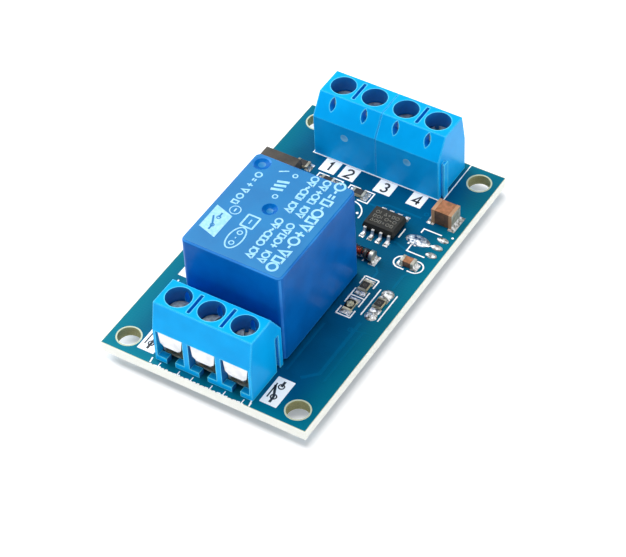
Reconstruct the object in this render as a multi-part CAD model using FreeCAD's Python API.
import FreeCAD, Part
import math
import os

# Relay module board: a small circuit board that carries a boxed relay, a
# three-pole screw terminal for the switched wires, two joined two-pole screw
# terminals for the supply and the trigger, and a handful of surface parts.
#
# Frame: the origin is the centre of the four mounting holes, on the board's
# underside. X runs along the short side, Y along the long side towards the
# supply terminals, and Z points up. All sizes are in millimetres.

V = FreeCAD.Vector
X_AXIS = V(1, 0, 0)
Y_AXIS = V(0, 1, 0)
Z_AXIS = V(0, 0, 1)

# Layout of the board, edge to edge
left_strip = 8.05           # bare board left of the relay
right_strip = 8.55          # board right of the relay, with the surface parts
front_margin = 1.1          # board edge to the wire face of the output terminal
relay_gap = 0.35            # output terminal to relay
parts_strip = 17.5          # relay to the supply terminals
rear_margin = 0.85          # wire face of the supply terminals to the board edge

# Board
board_thickness = 1.6
board_corner_radius = 0.12
mount_hole_diameter = 3.2   # clears an M3 screw
mount_hole_inset = 2.75     # hole centre to both nearest edges
pin_hole_diameter = 1.4
pin_tail = 1.5              # pin ends below the underside, all trimmed alike
solder_cone_height = 1.0
solder_cone_radius = 1.15
solder_neck = 0.15          # solder left around the pin at the cone's tip
solder_cone_waist = 0.45    # part of its height where the cone turns steep

# Relay case
relay_width = 15.4
relay_length = 19.0
relay_height = 15.4         # above the board
relay_standoff = 0.3
cover_wall = 0.9
cover_corner_radius = 0.8
cover_edge_radius = 0.35
base_thickness = 2.0
base_fit = 0.05             # base to the inside of the cover
base_foot_radius = 0.8
base_foot_inset = 1.6
vent_dimple_radius = 1.3
vent_dimple_depth = 0.4
vent_inset_x = 1.7
vent_inset_y = 1.65
gate_dimple_radius = 1.1
gate_dimple_depth = 0.42
gate_offset_x = -0.4
gate_offset_y = 0.9

# Relay pins, each from the outside of the relay case
common_pin_inset = 2.4      # from the rear end
coil_pin_step = 2.0         # coil pins to the common pin, along the relay
contact_pin_inset = 2.4     # from the front end
side_pin_inset = 1.7        # coil and contact pins, from the sides
pin_passage = 0.1           # pin to the hole in the relay base
coil_pin_radius = 0.35

# Relay magnet
yoke_thickness = 1.1
yoke_inset = 1.4            # yoke's side to the side of the bobbin
contact_room = 4.1          # yoke's top to the inside of the cover
core_radius = 2.0
core_face_radius = 3.2
core_face_thickness = 0.6
bobbin_bore_fit = 0.05
bobbin_wall = 0.55
bobbin_flange = 0.8
bobbin_lug = 1.2
bobbin_lug_fit = 0.15       # lug to the inside of the cover
bobbin_to_yoke = 0.1
bobbin_to_strips = 2.0      # bobbin to the contact strips, along the relay
bobbin_side_gap = 0.35      # bobbin's side to the line of the contact strips
winding_inset = 0.3         # winding to the edge of the bobbin's flanges
winding_fit = 0.05
armature_inset = 0.8        # armature's side to the side of the bobbin
armature_thickness = 1.0
armature_gap = 0.05         # armature to core when pulled in
armature_open_deg = 2.5

# Relay contacts
spring_thickness = 0.25
spring_width = 4.4
heel_gap = 0.1              # spring's turned-down heel to the top of its terminal
contact_radius = 1.2
contact_head_below = 0.45
contact_head_above = 0.4
contact_inset = 1.2         # contact centre to the spring's free end
contact_behind_pin = 0.4    # contact centre to the contact pins, along the relay
contact_break = 0.05        # clearance left where two contacts meet
fixed_contact_height = 0.5
terminal_strip = 0.5
terminal_strip_width = 2.4
terminal_pin_width = 1.0
common_strip = 0.4
common_strip_width = 5.0

# Screw terminals, per pole
pole_pitch = 5.08
front_poles = 3
rear_poles = 2
block_depth = 7.6
block_height = 10.2
face_break_height = 5.75    # the wire face leans back above this height
face_lean = 0.8
top_depth = 4.7             # flat top, measured along Y
back_slope_drop = 3.3
opening_width = 4.2
opening_height = 5.6
lip_depth = 1.05            # the lip and the sills reach this far in
sill_height = 0.9
sill_gap = 1.3
access_hole_radius = 1.85
screw_offset = 3.15         # wire face to the screw's axis
pole_slot_width = 0.5
pole_slot_length = 3.6
pole_slot_depth = 1.5
eye_length = 2.2            # eye-shaped windows in the sloping face
eye_width = 0.9
eye_depth = 2.0             # deep enough to break into the access hole
eye_from_top = 1.35
ejector_radius = 0.6        # shallow round mark in the middle of the back face
ejector_depth = 0.15
ejector_height = 4.85
housing_edge_radius = 0.15
rib_width = 0.7
rib_depth = 0.5
rib_head_width = 1.1
rib_head_depth = 0.25
rib_inset = 1.25            # rib's middle to the back face
rib_height = 6.2
rib_fit = 0.06

# Contact frame inside each pole
frame_floor_height = 0.55   # board to the lowest line of the frame
frame_strip = 0.35          # thickness of its floor
frame_dish = 0.4            # its floor is dished to hold the wire
frame_side = 0.45
frame_top = 1.2
frame_fit = 0.15            # frame to the housing walls
frame_front = 1.2           # wire face to the frame
frame_length = 4.2
frame_height = 4.25
frame_corner_radius = 0.4
terminal_pin_x = 1.0
terminal_pin_y = 0.8
terminal_pin_offset = 3.6   # wire face to the pin's middle
pin_point = 0.25

# Clamp screw and wire guard
thread_radius = 1.45
thread_fit = 0.05
head_height = 1.4
head_fit = 0.1              # head to the access hole
head_edge_radius = 0.15
drive_slot_width = 0.6
drive_slot_depth = 0.8
guard_thickness = 0.4
guard_width = 3.8
guard_foot_width = 2.3
guard_waist_width = 3.3
guard_waist_height = 0.8    # the guard narrows faster below this height
guard_front = 0.25          # wire face to the guard
guard_reach = 4.7
guard_bend = 0.35
guard_lip_gap = 0.1
guard_play = 0.1            # guard to the frame above and below
tip_gap = 0.03              # screw tip to the guard
first_slot_turn = 25        # degrees; each next screw stands a further step round
slot_turn_step = 47
clamp_travel = 1.5          # three turns of a 0.5 mm pitch

# Solder on the surface joints
solder_film = 0.05          # solder left under each end and lead
fillet_reach = 0.6          # solder in front of an end cap
fillet_spread = 0.15        # solder beyond each side of an end cap
fillet_climb = 0.6          # part of the end cap's height that the solder climbs
fillet_sag = 0.3            # part of its reach and rise where a fillet sags lowest
lead_fillet_reach = 0.3

# Chip resistors
resistor_length = 2.0
resistor_width = 1.25
resistor_height = 0.5
resistor_cap = 0.35
cap_proud = 0.03            # end caps stand proud of the body on every chip

# Small ceramic capacitor
small_cap_length = 2.0
small_cap_width = 1.25
small_cap_height = 0.95
small_cap_cap = 0.4

# Large ceramic capacitor across the supply
supply_cap_length = 3.2
supply_cap_width = 2.5
supply_cap_height = 2.5
supply_cap_cap = 0.5
supply_cap_climb = 0.25     # its pads are wide, so the solder spreads and stays low
supply_cap_spread = 0.4

# Control chip: eight gull-wing leads
control_length = 4.9
control_width = 3.9
control_height = 1.45
control_lift = 0.15         # board to the underside of the moulded body
control_draft = 0.2
control_span = 6.0          # lead tip to lead tip
lead_pitch = 1.27
lead_width = 0.42
lead_thickness = 0.2
lead_foot = 0.65
lead_lean = 0.12            # how far a lead's riser leans in
leads_per_side = 4
pin_mark_radius = 0.35
pin_mark_depth = 0.1
pin_mark_inset = 0.9

# Driver transistor: three gull-wing leads
driver_length = 2.9
driver_width = 1.3
driver_height = 1.0
driver_lift = 0.12
driver_span = 2.4
driver_lead_pitch = 0.95
driver_draft = 0.1
driver_lead_thickness = 0.12
driver_foot = 0.3

# Rectifier in a flat moulded case
rectifier_width = 5.9
rectifier_length = 6.9
rectifier_height = 2.3      # top above the board
rectifier_lift = 0.2
rectifier_draft = 0.15
rectifier_lead_width = 2.3
rectifier_lead = 0.25       # thickness of its wrapped leads
rectifier_lead_step = 0.35  # body to the outside of the lead
rectifier_foot = 1.3        # how far the lead tucks under the body

# Glass signal diode
diode_length = 3.5
diode_cap_length = 0.5
diode_glass_radius = 0.72
diode_cap_radius = 0.8

# Indicator lamp
indicator_length = 2.0
indicator_width = 1.25
indicator_base_height = 0.3
indicator_lens_length = 1.4
indicator_lens_width = 1.2
indicator_lens_height = 0.5
indicator_draft = 0.12
indicator_lens_edge = 0.12  # rounding of the lens round its top

# Solder lumps on the bare pads of the place for an optional regulator
tab_lump_length = 3.7
tab_lump_width = 2.0
pad_lump_length = 1.75
pad_lump_width = 1.0
pad_lump_pitch = 1.65
lump_height = 0.28
spare_lump_length = 1.7     # spare pads at both ends of the right-hand resistor
spare_lump_width = 1.85
spare_lump_step = 2.25      # resistor's middle to the middle of each spare pad

# Middles of the surface parts, from the relay's right side and rear end, from
# the supply terminals and from the board's long edges
control_to_side = 1.4
control_behind_relay = 9.15
driver_to_centre = 1.6
driver_behind_relay = 5.2
rectifier_to_edge = 3.25
rectifier_behind_relay = 9.8
diode_to_side = 1.1
diode_behind_relay = 2.8
supply_cap_to_edge = 3.2
supply_cap_to_terminal = 3.1
small_cap_to_edge = 3.43
small_cap_behind_relay = 4.45
lamp_column = 2.17          # lamp and its resistor, right of the relay
lamp_setback = 6.1
lamp_resistor_setback = 2.2
right_column = 5.55
right_resistor_setback = 4.1
pair_to_terminal = 4.45     # two resistors in front of the supply terminals
near_pair_offset = 0.15
far_pair_offset = 5.3
rear_resistor_to_edge = 5.6
rear_resistor_to_terminal = 3.2
regulator_behind_relay = 9.1
tab_lump_to_edge = 4.6
pad_lump_to_edge = 1.6

# Levels and faces worked out from the sizes above
board_width = left_strip + relay_width + right_strip
board_length = (front_margin + block_depth + relay_gap + relay_length
                + parts_strip + block_depth + rear_margin)
board_top = board_thickness
centre_x = (left_strip - right_strip) / 2
front_face_y = -board_length / 2 + front_margin
relay_front_y = front_face_y + block_depth + relay_gap
relay_rear_y = relay_front_y + relay_length
relay_right_x = centre_x + relay_width / 2
side_pin_offset = relay_width / 2 - side_pin_inset
rear_face_y = board_length / 2 - rear_margin
rear_back_y = rear_face_y - block_depth
pin_bottom = -pin_tail

# Middle of each surface part
right_edge = board_width / 2
control_place = (relay_right_x - control_to_side, relay_rear_y + control_behind_relay)
driver_place = (centre_x + driver_to_centre, relay_rear_y + driver_behind_relay)
rectifier_place = (rectifier_to_edge - right_edge, relay_rear_y + rectifier_behind_relay)
diode_place = (relay_right_x - diode_to_side, relay_rear_y + diode_behind_relay)
supply_cap_place = (right_edge - supply_cap_to_edge, rear_back_y - supply_cap_to_terminal)
small_cap_place = (right_edge - small_cap_to_edge, relay_rear_y + small_cap_behind_relay)
indicator_place = (relay_right_x + lamp_column, relay_rear_y - lamp_setback)
right_resistor_place = (relay_right_x + right_column, relay_rear_y - right_resistor_setback)
tab_lump_place = (right_edge - tab_lump_to_edge, relay_rear_y + regulator_behind_relay)
pad_lump_place = (right_edge - pad_lump_to_edge, relay_rear_y + regulator_behind_relay)
# Each chip resistor: middle x, middle y, and its turn in degrees
pair_y = rear_back_y - pair_to_terminal
resistor_places = [
    (right_resistor_place[0], right_resistor_place[1], 90),
    (relay_right_x + lamp_column, relay_rear_y - lamp_resistor_setback, 90),
    (centre_x - near_pair_offset, pair_y, 0),
    (centre_x - far_pair_offset, pair_y, 0),
    (rear_resistor_to_edge - right_edge, rear_back_y - rear_resistor_to_terminal, 0),
]


def box(x0, x1, y0, y1, z0, z1):
    """Block between two corners."""
    return Part.makeBox(x1 - x0, y1 - y0, z1 - z0, V(x0, y0, z0))


def centred_box(x, y, width, length, z0, z1):
    """Block centred on x and y."""
    return box(x - width / 2, x + width / 2, y - length / 2, y + length / 2, z0, z1)


def rod(x, y, z0, z1, radius):
    """Upright cylinder."""
    return Part.makeCylinder(radius, z1 - z0, V(x, y, z0))


def prism(points, direction):
    """Flat outline, given as points, pushed along a direction."""
    wire = Part.makePolygon(points + [points[0]])
    return Part.Face(wire).extrude(direction)


def join(shapes):
    """One clean solid from pieces that touch or overlap."""
    result = shapes[0]
    for shape in shapes[1:]:
        result = result.fuse(shape)
    return result.removeSplitter()


def dish(rim, outward, radius, depth):
    """Ball that leaves a dish of a radius and depth in a flat face."""
    ball = (radius ** 2 + depth ** 2) / (2 * depth)
    return Part.makeSphere(ball, rim + outward * (ball - depth))


def upright_edges(shape):
    """Edges that run straight up."""
    found = []
    for edge in shape.Edges:
        box_of = edge.BoundBox
        if box_of.ZLength > 0.01 and box_of.XLength < 1e-6 and box_of.YLength < 1e-6:
            found.append(edge)
    return found


def edges_at_height(shape, z):
    """Edges that lie level at one height."""
    found = []
    for edge in shape.Edges:
        box_of = edge.BoundBox
        if abs(box_of.ZMin - z) < 1e-6 and abs(box_of.ZMax - z) < 1e-6:
            found.append(edge)
    return found


def placed(shape, x, y, z, turn_deg):
    """Copy of a shape turned about the upright axis and moved into place."""
    copy = shape.copy()
    copy.rotate(V(0, 0, 0), Z_AXIS, turn_deg)
    copy.translate(V(x, y, z))
    return copy


def tapered_block(length, width, height, draft):
    """Moulded block that narrows by the draft from mid-height to top and bottom."""
    half = length / 2
    side = width / 2
    along = prism([V(-half + draft, -width, 0), V(half - draft, -width, 0),
                   V(half, -width, height / 2), V(half - draft, -width, height),
                   V(-half + draft, -width, height), V(-half, -width, height / 2)],
                  V(0, 2 * width, 0))
    across = prism([V(-length, -side + draft, 0), V(-length, side - draft, 0),
                    V(-length, side, height / 2), V(-length, side - draft, height),
                    V(-length, -side + draft, height), V(-length, -side, height / 2)],
                   V(2 * length, 0, 0))
    return along.common(across)


# Every pin through the board, listed as it is made: x, y, size along x, along y
pin_places = []


def rectangle_wire(x, y, width, length, z):
    """Level rectangle as a closed wire."""
    half = width / 2
    side = length / 2
    points = [V(x - half, y - side, z), V(x + half, y - side, z),
              V(x + half, y + side, z), V(x - half, y + side, z)]
    return Part.makePolygon(points + [points[0]])


def pin(x, y, width, length, top):
    """Square pin from its blunt point below the board up to a height."""
    pin_places.append((x, y, width, length))
    stem = centred_box(x, y, width, length, pin_bottom + pin_point, top)
    low = rectangle_wire(x, y, width - pin_point, length - pin_point, pin_bottom)
    high = rectangle_wire(x, y, width, length, pin_bottom + pin_point)
    point = Part.makeLoft([low, high], True, True)
    return join([stem, point])


def circuit_board():
    """Glass-cloth laminate with mounting holes and a drilled hole for each pin."""
    plate = centred_box(0, 0, board_width, board_length, 0, board_top)
    plate = plate.makeFillet(board_corner_radius, upright_edges(plate))
    hole_x = board_width / 2 - mount_hole_inset
    hole_y = board_length / 2 - mount_hole_inset
    for x in (-hole_x, hole_x):
        for y in (-hole_y, hole_y):
            plate = plate.cut(rod(x, y, 0, board_top, mount_hole_diameter / 2))
    for x, y, width, length in pin_places:
        plate = plate.cut(rod(x, y, 0, board_top, pin_hole_diameter / 2))
    return plate


def underside_solder():
    """One flared joint for each pin, filling its hole and climbing its tail."""
    joints = []
    hole = pin_hole_diameter / 2
    for x, y, width, length in pin_places:
        tip = max(width, length) / 2 + solder_neck
        start = V(x, y, board_top)
        middle = V(x + (tip + solder_cone_radius) / 2 - solder_neck, y,
                   -solder_cone_height * solder_cone_waist)
        tip_point = V(x + tip, y, -solder_cone_height)
        rim = V(x + solder_cone_radius, y, 0)
        outline = Part.Wire([
            Part.makeLine(start, V(x + hole, y, board_top)),
            Part.makeLine(V(x + hole, y, board_top), V(x + hole, y, 0)),
            Part.makeLine(V(x + hole, y, 0), rim),
            Part.Arc(rim, middle, tip_point).toShape(),
            Part.makeLine(tip_point, V(x, y, -solder_cone_height)),
            Part.makeLine(V(x, y, -solder_cone_height), start),
        ])
        flare = Part.Face(outline).revolve(V(x, y, 0), Z_AXIS, 360)
        joints.append(flare.cut(centred_box(x, y, width, length, pin_bottom, board_top)))
    return Part.makeCompound(joints)


def relay_cover():
    """Moulded case, open underneath, with a dished vent and gate mark on top."""
    low = board_top + relay_standoff
    high = board_top + relay_height
    middle_y = (relay_front_y + relay_rear_y) / 2
    case = centred_box(centre_x, middle_y, relay_width, relay_length, low, high)
    case = case.makeFillet(cover_corner_radius, upright_edges(case))
    case = case.makeFillet(cover_edge_radius, edges_at_height(case, high))
    inside = centred_box(centre_x, middle_y, relay_width - 2 * cover_wall,
                         relay_length - 2 * cover_wall, low, high - cover_wall)
    case = case.cut(inside)
    vent_x = centre_x - relay_width / 2 + vent_inset_x
    vent_y = relay_rear_y - vent_inset_y
    vent = V(vent_x, vent_y, high)
    gate = V(centre_x + gate_offset_x, middle_y + gate_offset_y, high)
    case = case.cut(dish(vent, Z_AXIS, vent_dimple_radius, vent_dimple_depth))
    return case.cut(dish(gate, Z_AXIS, gate_dimple_radius, gate_dimple_depth))


def relay_base(relay_pins):
    """Plate that closes the case, with a foot in each corner and holes for the pins."""
    low = board_top + relay_standoff
    middle_y = (relay_front_y + relay_rear_y) / 2
    width = relay_width - 2 * (cover_wall + base_fit)
    length = relay_length - 2 * (cover_wall + base_fit)
    plate = centred_box(centre_x, middle_y, width, length, low, low + base_thickness)
    feet = []
    for side_x in (-1, 1):
        for side_y in (-1, 1):
            feet.append(rod(centre_x + side_x * (width / 2 - base_foot_inset),
                            middle_y + side_y * (length / 2 - base_foot_inset),
                            board_top, low + base_foot_radius, base_foot_radius))
    plate = join([plate] + feet)
    for x, y, across, along in relay_pins:
        plate = plate.cut(centred_box(x, y, across + 2 * pin_passage,
                                      along + 2 * pin_passage, board_top,
                                      low + base_thickness))
    return plate


# Levels and lines inside the relay
inner_floor = board_top + relay_standoff + base_thickness
common_y = relay_rear_y - common_pin_inset
coil_pin_y = common_y - coil_pin_step
contact_y = relay_front_y + contact_pin_inset
yoke_rear_y = common_y - common_strip / 2
yoke_front_y = yoke_rear_y - yoke_thickness
yoke_top = board_top + relay_height - cover_wall - contact_room
bobbin_rear_y = yoke_front_y - bobbin_to_yoke
bobbin_front_y = contact_y + terminal_strip_width / 2 + bobbin_to_strips
bobbin_length = bobbin_rear_y - bobbin_front_y
bobbin_width = 2 * (side_pin_offset - terminal_strip / 2 - bobbin_side_gap)
core_y = (bobbin_rear_y + bobbin_front_y) / 2
winding_radius = bobbin_length / 2 - winding_inset
yoke_width = bobbin_width - 2 * yoke_inset
armature_width = bobbin_width - 2 * armature_inset
bobbin_bottom = inner_floor + yoke_thickness
bobbin_top = yoke_top - core_face_thickness
hinge_point = V(centre_x, yoke_rear_y, yoke_top)
armature_bottom = yoke_top + armature_gap
armature_front_y = bobbin_front_y
spring_bottom = armature_bottom + armature_thickness
contact_line_y = contact_y + contact_behind_pin
spring_end_y = contact_line_y - contact_inset
open_rise = (yoke_rear_y - contact_line_y) * math.tan(math.radians(armature_open_deg))


def opened(shape):
    """Turn a pulled-in piece about the yoke's edge to where it stands at rest."""
    copy = shape.copy()
    copy.rotate(hinge_point, X_AXIS, -armature_open_deg)
    return copy


def magnet_yoke():
    """Iron angle: a foot under the coil and a leg behind it."""
    foot = box(centre_x - yoke_width / 2, centre_x + yoke_width / 2,
               core_y - core_radius - yoke_thickness, yoke_rear_y,
               inner_floor, inner_floor + yoke_thickness)
    leg = box(centre_x - yoke_width / 2, centre_x + yoke_width / 2,
              yoke_front_y, yoke_rear_y, inner_floor, yoke_top)
    hole = rod(centre_x, core_y, inner_floor, inner_floor + yoke_thickness, core_radius)
    return join([foot, leg]).cut(hole)


def iron_core():
    """Round core riveted into the yoke, with a wider face under the armature."""
    stem = rod(centre_x, core_y, inner_floor, bobbin_top, core_radius)
    face = rod(centre_x, core_y, bobbin_top, yoke_top, core_face_radius)
    return join([stem, face])


def coil_bobbin():
    """Moulded spool with two flanges and lugs that hold the coil pins."""
    barrel_radius = core_radius + bobbin_bore_fit + bobbin_wall
    barrel = rod(centre_x, core_y, bobbin_bottom, bobbin_top, barrel_radius)
    low = centred_box(centre_x, core_y, bobbin_width, bobbin_length,
                      bobbin_bottom, bobbin_bottom + bobbin_flange)
    high = centred_box(centre_x, core_y, bobbin_width, bobbin_length,
                       bobbin_top - bobbin_flange, bobbin_top)
    lug_reach = relay_width / 2 - cover_wall - bobbin_lug_fit
    lugs = box(centre_x - lug_reach, centre_x + lug_reach,
               coil_pin_y - bobbin_lug / 2, coil_pin_y + bobbin_lug / 2,
               bobbin_bottom, bobbin_bottom + bobbin_flange)
    spool = join([barrel, low, high, lugs])
    return spool.cut(rod(centre_x, core_y, bobbin_bottom, bobbin_top,
                         core_radius + bobbin_bore_fit))


def coil_winding():
    """Enamelled copper wire, layer on layer, as one full ring."""
    low = bobbin_bottom + bobbin_flange + winding_fit
    high = bobbin_top - bobbin_flange - winding_fit
    barrel_radius = core_radius + bobbin_bore_fit + bobbin_wall
    ring = rod(centre_x, core_y, low, high, winding_radius)
    return ring.cut(rod(centre_x, core_y, low, high, barrel_radius))


def coil_pins():
    """Two pins that carry the coil's ends down through the board."""
    pins = []
    for side in (-1, 1):
        pins.append(pin(centre_x + side * side_pin_offset, coil_pin_y,
                        2 * coil_pin_radius, 2 * coil_pin_radius, bobbin_bottom))
    return Part.makeCompound(pins)


def armature():
    """Iron flap on the yoke's top edge, shown let go."""
    flap = box(centre_x - armature_width / 2, centre_x + armature_width / 2,
               armature_front_y, yoke_rear_y - armature_gap,
               armature_bottom, armature_bottom + armature_thickness)
    return opened(flap)


def contact_spring():
    """Bronze leaf riveted on the armature, with its heel turned down behind."""
    high = spring_bottom + spring_thickness
    rear = yoke_rear_y + armature_gap + spring_thickness
    leaf = box(centre_x - spring_width / 2, centre_x + spring_width / 2,
               spring_end_y, rear, spring_bottom, high)
    heel = box(centre_x - spring_width / 2, centre_x + spring_width / 2,
               rear - spring_thickness, rear, yoke_top + heel_gap, high)
    leaf = join([leaf, heel])
    leaf = leaf.cut(rod(centre_x, contact_line_y, spring_bottom, high, contact_radius / 2))
    return opened(leaf)


def moving_contact():
    """Two-headed silver rivet at the spring's free end."""
    high = spring_bottom + spring_thickness
    below = rod(centre_x, contact_line_y, spring_bottom - contact_head_below,
                spring_bottom, contact_radius)
    shank = rod(centre_x, contact_line_y, spring_bottom, high, contact_radius / 2)
    above = rod(centre_x, contact_line_y, high, high + contact_head_above, contact_radius)
    return opened(join([below, shank, above]))


# Faces of the two fixed contacts
open_contact_face = spring_bottom - contact_head_below - contact_break
tilt_rise = contact_radius * math.sin(math.radians(armature_open_deg))
closed_contact_face = (spring_bottom + spring_thickness + contact_head_above
                       + open_rise + tilt_rise + contact_break)
open_arm_top = open_contact_face - fixed_contact_height
closed_arm_bottom = closed_contact_face + fixed_contact_height


def fixed_terminal(side, arm_bottom):
    """Bent strip: a pin, an upright beside the coil and an arm over to the middle."""
    x = centre_x + side * side_pin_offset
    half = terminal_strip / 2
    stem = pin(x, contact_y, terminal_strip, terminal_pin_width, inner_floor)
    upright = box(x - half, x + half, contact_y - terminal_strip_width / 2,
                  contact_y + terminal_strip_width / 2, inner_floor,
                  arm_bottom + terminal_strip)
    inner = centre_x - side * contact_radius
    outer = x + side * half
    arm = box(min(inner, outer), max(inner, outer),
              contact_line_y - terminal_strip_width / 2,
              contact_line_y + terminal_strip_width / 2,
              arm_bottom, arm_bottom + terminal_strip)
    return join([stem, upright, arm])


def common_terminal():
    """Strip behind the yoke that carries the switched current to its pin."""
    stem = pin(centre_x, common_y, terminal_pin_width, common_strip, inner_floor)
    blade = centred_box(centre_x, common_y, common_strip_width, common_strip,
                        inner_floor, yoke_top)
    return join([stem, blade])


# Screw terminals are made at the origin, wire face on y = 0 and the first pole
# at x = 0, standing on z = 0. Right is +X as seen with the wire face in front.
frame_room_top = frame_floor_height + frame_height + frame_fit
frame_rear = frame_front + frame_length
frame_half = opening_width / 2 - frame_fit
dish_radius = (frame_half ** 2 + frame_dish ** 2) / (2 * frame_dish)


def dish_rise(x):
    """How far the frame's dished floor has risen at x from its middle."""
    return dish_radius - math.sqrt(dish_radius ** 2 - x ** 2)


guard_bottom = (frame_floor_height + frame_strip + dish_rise(guard_foot_width / 2)
                + guard_play + clamp_travel)
guard_top = guard_bottom + guard_thickness
head_bottom = frame_floor_height + frame_height + guard_play + clamp_travel


def block_outline(x):
    """Side view of a terminal block in the plane at x."""
    slope_y = face_lean + top_depth
    return [V(x, 0, 0), V(x, 0, face_break_height), V(x, face_lean, block_height),
            V(x, slope_y, block_height), V(x, block_depth, block_height - back_slope_drop),
            V(x, block_depth, 0)]


def rib(fit):
    """Upright key on the left side; with a fit it is the groove that takes it."""
    y = block_depth - rib_inset
    neck = box(-rib_depth - fit, 0, y - rib_width / 2 - fit, y + rib_width / 2 + fit,
               0, rib_height + fit)
    head = box(-rib_depth - fit, -rib_depth + rib_head_depth + fit,
               y - rib_head_width / 2 - fit, y + rib_head_width / 2 + fit,
               0, rib_height + fit)
    return join([neck, head])


def eye_pocket(x):
    """Eye-shaped window square to the sloping back face, into the access hole."""
    slope = V(0, block_depth - face_lean - top_depth, -back_slope_drop)
    run = slope.Length
    slope.normalize()
    normal = V(0, back_slope_drop / run, (block_depth - face_lean - top_depth) / run)
    middle = V(x, face_lean + top_depth, block_height) + slope * eye_from_top
    tip_a = middle - slope * (eye_length / 2)
    tip_b = middle + slope * (eye_length / 2)
    right = Part.Arc(tip_a, middle + X_AXIS * (eye_width / 2), tip_b).toShape()
    left = Part.Arc(tip_b, middle - X_AXIS * (eye_width / 2), tip_a).toShape()
    eye = Part.Face(Part.Wire([right, left]))
    eye.translate(normal * eye_depth)
    return eye.extrude(normal * (-2 * eye_depth))


def pole_cavity(x):
    """Room for one pole's metal, open in front and below, with a sill in each corner."""
    half = opening_width / 2
    mouth = box(x - half, x + half, 0, lip_depth, 0, opening_height)
    room = box(x - half, x + half, lip_depth, frame_rear + frame_fit, 0, frame_room_top)
    cavity = join([mouth, room])
    for side in (-1, 1):
        inner = x + side * sill_gap / 2
        wall = x + side * half
        cavity = cavity.cut(box(min(inner, wall), max(inner, wall),
                                0, lip_depth, 0, sill_height))
    return cavity


def terminal_housing(poles):
    """Moulded body of a block with a key on its left side and a groove on its right."""
    left = -pole_pitch / 2
    right = left + poles * pole_pitch
    body = prism(block_outline(left), V(right - left, 0, 0))
    outer_edges = [edge for edge in body.Edges if edge.BoundBox.ZMax > 0.01]
    body = body.makeFillet(housing_edge_radius, outer_edges)
    for pole in range(poles):
        x = pole * pole_pitch
        access = rod(x, screw_offset, frame_room_top, block_height, access_hole_radius)
        body = body.cut(pole_cavity(x)).cut(access).cut(eye_pocket(x))
    for gap in range(1, poles):
        x = gap * pole_pitch - pole_pitch / 2
        middle_y = face_lean + top_depth / 2
        body = body.cut(centred_box(x, middle_y, pole_slot_width, pole_slot_length,
                                    block_height - pole_slot_depth, block_height))
    groove = rib(rib_fit)
    groove.translate(V(right, 0, 0))
    key = rib(0)
    key.translate(V(left, 0, 0))
    mark = V((left + right) / 2, block_depth, ejector_height)
    body = body.cut(dish(mark, Y_AXIS, ejector_radius, ejector_depth)).cut(groove)
    return body.fuse(key).removeSplitter()


def frame_outline(half, bottom, top):
    """Flat top, upright sides and dished floor, across the frame's front."""
    left = V(-half, frame_front, bottom + dish_rise(half))
    right = V(half, frame_front, bottom + dish_rise(half))
    top_left = V(-half, frame_front, top)
    top_right = V(half, frame_front, top)
    return Part.Face(Part.Wire([
        Part.Arc(left, V(0, frame_front, bottom), right).toShape(),
        Part.makeLine(right, top_right),
        Part.makeLine(top_right, top_left),
        Part.makeLine(top_left, left),
    ]))


def contact_frame():
    """Plated brass strip bent into a closed frame, tapped for the screw."""
    low = frame_floor_height
    high = low + frame_height
    along = V(0, frame_length, 0)
    outer = frame_outline(frame_half, low, high).extrude(along)
    long_edges = [edge for edge in outer.Edges if edge.BoundBox.YLength > frame_length / 2]
    outer = outer.makeFillet(frame_corner_radius, long_edges)
    window = frame_outline(frame_half - frame_side, low + frame_strip,
                           high - frame_top).extrude(along)
    tapped = rod(0, screw_offset, high - frame_top, high, thread_radius + thread_fit)
    return outer.cut(window).cut(tapped)


def wire_guard():
    """Springy leaf: an upright tab in the mouth and a plate under the screw."""
    tab_top = opening_height - guard_lip_gap
    front = guard_front
    rear = guard_front + guard_reach
    inner = guard_front + guard_thickness
    half = guard_width / 2
    leaf = prism([V(-half, front, guard_bottom), V(-half, front, tab_top),
                  V(-half, inner, tab_top), V(-half, inner, guard_top),
                  V(-half, rear, guard_top), V(-half, rear, guard_bottom)],
                 V(guard_width, 0, 0))
    bend_edges = []
    for edge in leaf.Edges:
        middle = edge.BoundBox.Center
        if edge.BoundBox.XLength > guard_width / 2 and abs(middle.y - front) < 1e-6:
            if abs(middle.z - guard_bottom) < 1e-6:
                bend_edges.append(edge)
    leaf = leaf.makeFillet(guard_bend, bend_edges)
    foot = guard_foot_width / 2
    waist = guard_waist_width / 2
    waist_z = guard_bottom + guard_waist_height
    front_view = prism([V(-foot, 0, guard_bottom), V(-foot, 0, guard_top),
                        V(-waist, 0, waist_z), V(-half, 0, tab_top),
                        V(half, 0, tab_top), V(waist, 0, waist_z),
                        V(foot, 0, guard_top), V(foot, 0, guard_bottom)],
                       V(0, block_depth, 0))
    return leaf.common(front_view)


def clamp_screw(slot_turn_deg):
    """Slotted cheese-head screw, backed out to its highest position."""
    head_radius = access_hole_radius - head_fit
    head = rod(0, screw_offset, head_bottom, head_bottom + head_height, head_radius)
    head = head.makeFillet(head_edge_radius, edges_at_height(head, head_bottom + head_height))
    slot = centred_box(0, 0, 3 * head_radius, drive_slot_width,
                       head_bottom + head_height - drive_slot_depth,
                       head_bottom + head_height)
    slot.rotate(V(0, 0, 0), Z_AXIS, slot_turn_deg)
    slot.translate(V(0, screw_offset, 0))
    shank = rod(0, screw_offset, guard_top + tip_gap, head_bottom, thread_radius)
    return join([head.cut(slot), shank])


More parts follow.
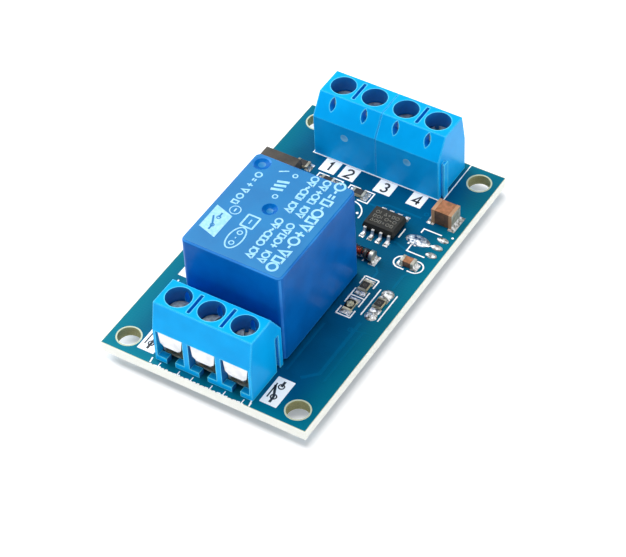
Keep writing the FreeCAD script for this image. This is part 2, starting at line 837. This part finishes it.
def chip_part(length, width, height, cap):
    """Body and two end caps of a chip, long way along X, standing on z = 0."""
    inner = length / 2 - cap
    body = box(-inner, inner, -width / 2 + cap_proud, width / 2 - cap_proud,
               cap_proud, height - cap_proud)
    ends = []
    for side in (-1, 1):
        near = side * inner
        far = side * length / 2
        ends.append(box(min(near, far), max(near, far), -width / 2, width / 2, 0, height))
    return body, Part.makeCompound(ends)


def end_fillet(width, inner_run, climb, reach, spread=fillet_spread):
    """Solder under an end and up its face. The face is at x = 0, the part behind it."""
    side = width / 2 + spread
    belly_z = solder_film + (climb - solder_film) * fillet_sag
    crest = V(0, -side, climb)
    toe = V(reach, -side, solder_film)
    side_view = Part.Wire([
        Part.makeLine(V(-inner_run, -side, 0), V(-inner_run, -side, solder_film)),
        Part.makeLine(V(-inner_run, -side, solder_film), V(0, -side, solder_film)),
        Part.makeLine(V(0, -side, solder_film), crest),
        Part.Arc(crest, V(reach * fillet_sag, -side, belly_z), toe).toShape(),
        Part.makeLine(toe, V(reach, -side, 0)),
        Part.makeLine(V(reach, -side, 0), V(-inner_run, -side, 0)),
    ])
    run = Part.Face(side_view).extrude(V(0, 2 * side, 0))
    top = width / 2 - cap_proud
    lean = top + (side - top) * fillet_sag
    left_toe = V(-inner_run, -side, solder_film)
    right_toe = V(-inner_run, side, solder_film)
    left_crest = V(-inner_run, -top, climb)
    right_crest = V(-inner_run, top, climb)
    end_view = Part.Wire([
        Part.makeLine(V(-inner_run, -side, 0), left_toe),
        Part.Arc(left_toe, V(-inner_run, -lean, belly_z), left_crest).toShape(),
        Part.makeLine(left_crest, right_crest),
        Part.Arc(right_crest, V(-inner_run, lean, belly_z), right_toe).toShape(),
        Part.makeLine(right_toe, V(-inner_run, side, 0)),
        Part.makeLine(V(-inner_run, side, 0), V(-inner_run, -side, 0)),
    ])
    return run.common(Part.Face(end_view).extrude(V(inner_run + reach, 0, 0)))


def chip_solder(length, width, height, cap, x, y, turn,
                climb=fillet_climb, spread=fillet_spread):
    """Both end fillets of a chip at its place on the board."""
    joints = []
    for half_turn in (0, 180):
        fillet = end_fillet(width, cap, height * climb, fillet_reach, spread)
        fillet.translate(V(length / 2, 0, 0))
        joints.append(placed(fillet, x, y, board_top, turn + half_turn))
    return joints


def solder_lump(x, y, length, width, turn):
    """Flat dome of solder on a bare pad."""
    dome = Part.makeSphere(1.0).cut(box(-2, 2, -2, 2, -2, 0))
    stretch = FreeCAD.Matrix()
    stretch.scale(length / 2, width / 2, lump_height)
    return placed(dome.transformGeometry(stretch), x, y, board_top, turn)


def gull_lead(body_half, span_half, foot, rise, thickness, width):
    """Bent lead in the YZ plane: foot on the board, riser, and root in the body."""
    heel = span_half - foot
    knee = heel - lead_lean
    half = width / 2
    lead = prism([V(-half, span_half, 0), V(-half, span_half, thickness),
                  V(-half, heel, thickness), V(-half, knee, rise + thickness),
                  V(-half, body_half, rise + thickness), V(-half, body_half, rise),
                  V(-half, knee - thickness, rise),
                  V(-half, heel - thickness, 0)],
                 V(width, 0, 0))
    return lead


def leaded_part(body, lead, lead_places):
    """Copies of a lead turned and set along a body, trimmed where they enter it."""
    leads = []
    for x, turn in lead_places:
        copy = lead.copy()
        copy.translate(V(x, 0, 0))
        copy.rotate(V(0, 0, 0), Z_AXIS, turn)
        leads.append(copy.cut(body))
    return Part.makeCompound(leads)


def lead_solder(lead_places, span_half, width, foot, x, y):
    """Small fillet at the toe of each lead and a film under its foot."""
    joints = []
    for lead_x, turn in lead_places:
        fillet = end_fillet(width, foot, lead_thickness, lead_fillet_reach)
        fillet.rotate(V(0, 0, 0), Z_AXIS, 90)
        fillet.translate(V(lead_x, span_half, 0))
        joints.append(placed(fillet, x, y, board_top, turn))
    return joints


def control_chip():
    """Body, leads and lead places of the eight-lead chip, centred on the origin."""
    body = tapered_block(control_length, control_width, control_height, control_draft)
    mark_x = -control_length / 2 + pin_mark_inset
    mark_y = -control_width / 2 + pin_mark_inset
    body = body.cut(rod(mark_x, mark_y, control_height - pin_mark_depth,
                        control_height, pin_mark_radius))
    body.translate(V(0, 0, control_lift))
    rise = control_lift + (control_height - lead_thickness) / 2
    lead = gull_lead(control_width / 2 - control_draft, control_span / 2, lead_foot,
                     rise - solder_film, lead_thickness, lead_width)
    lead.translate(V(0, 0, solder_film))
    places = []
    for turn in (0, 180):
        for index in range(leads_per_side):
            places.append(((index - (leads_per_side - 1) / 2) * lead_pitch, turn))
    return body, leaded_part(body, lead, places), places


def driver_transistor():
    """Body, leads and lead places of the transistor, centred on the origin."""
    body = tapered_block(driver_length, driver_width, driver_height, driver_draft)
    body.translate(V(0, 0, driver_lift))
    rise = driver_lift + (driver_height - driver_lead_thickness) / 2
    lead = gull_lead(driver_width / 2 - driver_draft, driver_span / 2, driver_foot,
                     rise - solder_film, driver_lead_thickness, lead_width)
    lead.translate(V(0, 0, solder_film))
    places = [(-driver_lead_pitch, 0), (driver_lead_pitch, 0), (0, 180)]
    return body, leaded_part(body, lead, places), places


def rectifier():
    """Body and wrapped leads of the flat rectifier, leads at its ends along Y."""
    height = rectifier_height - rectifier_lift
    body = tapered_block(rectifier_width, rectifier_length, height, rectifier_draft)
    end = rectifier_length / 2
    tuck = end - rectifier_foot
    recess = rectifier_lead + solder_film - rectifier_lift
    for side in (-1, 1):
        near = side * tuck
        far = side * rectifier_length
        body = body.cut(box(-rectifier_lead_width / 2, rectifier_lead_width / 2,
                            min(near, far), max(near, far), 0, recess))
    body.translate(V(0, 0, rectifier_lift))
    low = rectifier_lift + height / 2 - rectifier_lead / 2
    high = low + rectifier_lead
    outer = end + rectifier_lead_step
    inner = outer - rectifier_lead
    lead = prism([V(0, end - rectifier_draft, high), V(0, outer, high),
                  V(0, outer, solder_film), V(0, tuck, solder_film),
                  V(0, tuck, solder_film + rectifier_lead),
                  V(0, inner, solder_film + rectifier_lead),
                  V(0, inner, low), V(0, end - rectifier_draft, low)],
                 V(rectifier_lead_width, 0, 0))
    lead.translate(V(-rectifier_lead_width / 2, 0, 0))
    return body, leaded_part(body, lead, [(0, 0), (0, 180)])


def signal_diode():
    """Glass body and two metal end caps of the round diode, along X."""
    inner = diode_length / 2 - diode_cap_length
    axis_z = diode_cap_radius + solder_film
    glass = Part.makeCylinder(diode_glass_radius, 2 * inner, V(-inner, 0, axis_z), X_AXIS)
    caps = []
    for x in (-diode_length / 2, inner):
        caps.append(Part.makeCylinder(diode_cap_radius, diode_cap_length,
                                      V(x, 0, axis_z), X_AXIS))
    return glass, Part.makeCompound(caps)


def indicator():
    """Plated base and clear lens of the indicator lamp, along X."""
    base = centred_box(0, 0, indicator_length, indicator_width, 0, indicator_base_height)
    low = rectangle_wire(0, 0, indicator_lens_length, indicator_lens_width,
                         indicator_base_height)
    high = rectangle_wire(0, 0, indicator_lens_length - 2 * indicator_draft,
                          indicator_lens_width - 2 * indicator_draft,
                          indicator_base_height + indicator_lens_height)
    lens = Part.makeLoft([low, high], True, True)
    top = edges_at_height(lens, indicator_base_height + indicator_lens_height)
    return base, lens.makeFillet(indicator_lens_edge, top)


def save(name, shape):
    """Write one node as a STEP file and print its size."""
    print(name, len(shape.Solids), "solids", round(shape.Volume, 2), "valid", shape.isValid())
    shape.exportStep("parts/" + name + ".step")


def save_terminals():
    """Housings and the contents of each pole, at both ends of the board."""
    front_start = centre_x - (front_poles - 1) * pole_pitch / 2
    rear_start = centre_x + (2 * rear_poles - 1) * pole_pitch / 2
    save("front_terminal_housing",
         placed(terminal_housing(front_poles), front_start, front_face_y, board_top, 0))
    rear = terminal_housing(rear_poles)
    save("rear_terminal_housing_right",
         placed(rear, rear_start, rear_face_y, board_top, 180))
    save("rear_terminal_housing_left",
         placed(rear, rear_start - rear_poles * pole_pitch, rear_face_y, board_top, 180))
    poles = []
    for index in range(front_poles):
        poles.append(("front_%d" % (index + 1), front_start + index * pole_pitch,
                      front_face_y, 0))
    for index in range(2 * rear_poles):
        x = rear_start - (2 * rear_poles - 1 - index) * pole_pitch
        poles.append(("rear_%d" % (index + 1), x, rear_face_y, 180))
    for index, (name, x, y, turn) in enumerate(poles):
        inward = 1 if turn == 0 else -1
        stem = pin(x, y + inward * terminal_pin_offset, terminal_pin_x, terminal_pin_y,
                   board_top + frame_floor_height + frame_strip / 2)
        frame = placed(contact_frame(), x, y, board_top, turn)
        save("contact_frame_" + name, join([frame, stem]))
        save("wire_guard_" + name, placed(wire_guard(), x, y, board_top, turn))
        slot_turn = first_slot_turn + index * slot_turn_step
        save("clamp_screw_" + name, placed(clamp_screw(slot_turn), x, y, board_top, turn))


def save_relay():
    """Every piece of the relay. Its pins come first, as the base is pierced for them."""
    first = len(pin_places)
    save("coil_pins", coil_pins())
    save("common_terminal", common_terminal())
    save("normally_open_terminal", fixed_terminal(1, open_arm_top - terminal_strip))
    save("normally_closed_terminal", fixed_terminal(-1, closed_arm_bottom))
    save("relay_base", relay_base(pin_places[first:]))
    save("relay_cover", relay_cover())
    save("magnet_yoke", magnet_yoke())
    save("iron_core", iron_core())
    save("coil_bobbin", coil_bobbin())
    save("coil_winding", coil_winding())
    save("armature", armature())
    save("contact_spring", contact_spring())
    save("moving_contact", moving_contact())
    save("normally_open_contact",
         rod(centre_x, contact_line_y, open_arm_top, open_contact_face, contact_radius))
    save("normally_closed_contact",
         rod(centre_x, contact_line_y, closed_contact_face, closed_arm_bottom,
             contact_radius))


def save_resistors():
    """All chip resistors as two nodes. Gives back their solder."""
    bodies = []
    ends = []
    solder = []
    for x, y, turn in resistor_places:
        body, caps = chip_part(resistor_length, resistor_width, resistor_height, resistor_cap)
        bodies.append(placed(body, x, y, board_top + solder_film, turn))
        ends += placed(caps, x, y, board_top + solder_film, turn).Solids
        solder += chip_solder(resistor_length, resistor_width, resistor_height,
                              resistor_cap, x, y, turn)
    save("chip_resistor_bodies", Part.makeCompound(bodies))
    save("chip_resistor_ends", Part.makeCompound(ends))
    return solder


def save_capacitors():
    """Both ceramic capacitors. Gives back their solder."""
    solder = []
    x, y = supply_cap_place
    body, caps = chip_part(supply_cap_length, supply_cap_width, supply_cap_height,
                           supply_cap_cap)
    save("supply_capacitor_body", placed(body, x, y, board_top + solder_film, 0))
    save("supply_capacitor_ends", placed(caps, x, y, board_top + solder_film, 0))
    solder += chip_solder(supply_cap_length, supply_cap_width, supply_cap_height,
                          supply_cap_cap, x, y, 0, supply_cap_climb, supply_cap_spread)
    x, y = small_cap_place
    body, caps = chip_part(small_cap_length, small_cap_width, small_cap_height,
                           small_cap_cap)
    save("small_capacitor_body", placed(body, x, y, board_top + solder_film, 0))
    save("small_capacitor_ends", placed(caps, x, y, board_top + solder_film, 0))
    solder += chip_solder(small_cap_length, small_cap_width, small_cap_height,
                          small_cap_cap, x, y, 0)
    return solder


def save_lamp_and_diode():
    """Indicator lamp and glass diode. Gives back their solder."""
    x, y = indicator_place
    base, lens = indicator()
    save("indicator_base", placed(base, x, y, board_top + solder_film, 90))
    save("indicator_lens", placed(lens, x, y, board_top + solder_film, 90))
    solder = chip_solder(indicator_length, indicator_width, indicator_base_height,
                         resistor_cap, x, y, 90)
    x, y = diode_place
    glass, caps = signal_diode()
    save("signal_diode_glass", placed(glass, x, y, board_top, 0))
    save("signal_diode_caps", placed(caps, x, y, board_top, 0))
    solder += chip_solder(diode_length, 2 * diode_cap_radius, diode_cap_radius,
                          diode_cap_length, x, y, 0)
    return solder


def save_leaded_parts():
    """Control chip, driver transistor and rectifier. Gives back their solder."""
    x, y = control_place
    body, leads, places = control_chip()
    save("control_chip_body", placed(body, x, y, board_top, 0))
    save("control_chip_leads", placed(leads, x, y, board_top, 0))
    solder = lead_solder(places, control_span / 2, lead_width, lead_foot, x, y)
    x, y = driver_place
    body, leads, places = driver_transistor()
    save("driver_transistor_body", placed(body, x, y, board_top, 0))
    save("driver_transistor_leads", placed(leads, x, y, board_top, 0))
    solder += lead_solder(places, driver_span / 2, lead_width, driver_foot, x, y)
    x, y = rectifier_place
    body, leads = rectifier()
    save("rectifier_body", placed(body, x, y, board_top, 0))
    save("rectifier_leads", placed(leads, x, y, board_top, 0))
    reach = rectifier_length / 2 + rectifier_lead_step
    solder += chip_solder(2 * reach, rectifier_lead_width, rectifier_lead * 2,
                          rectifier_foot + rectifier_lead_step, x, y, 90)
    return solder


def bare_pad_solder():
    """Lumps on the unused regulator pads and beside the right-hand resistor."""
    x, y = tab_lump_place
    lumps = [solder_lump(x, y, tab_lump_length, tab_lump_width, 0)]
    x, y = pad_lump_place
    for step in (-1, 0, 1):
        lumps.append(solder_lump(x, y + step * pad_lump_pitch, pad_lump_length,
                                 pad_lump_width, 0))
    x, y = right_resistor_place
    for step in (-1, 1):
        lumps.append(solder_lump(x, y + step * spare_lump_step, spare_lump_length,
                                 spare_lump_width, 90))
    return lumps


os.makedirs("parts", exist_ok=True)
save_relay()
save_terminals()
solder = save_resistors() + save_capacitors() + save_lamp_and_diode()
solder += save_leaded_parts() + bare_pad_solder()
save("surface_solder", solder[0].multiFuse(solder[1:]))
save("circuit_board", circuit_board())
save("underside_solder", underside_solder())
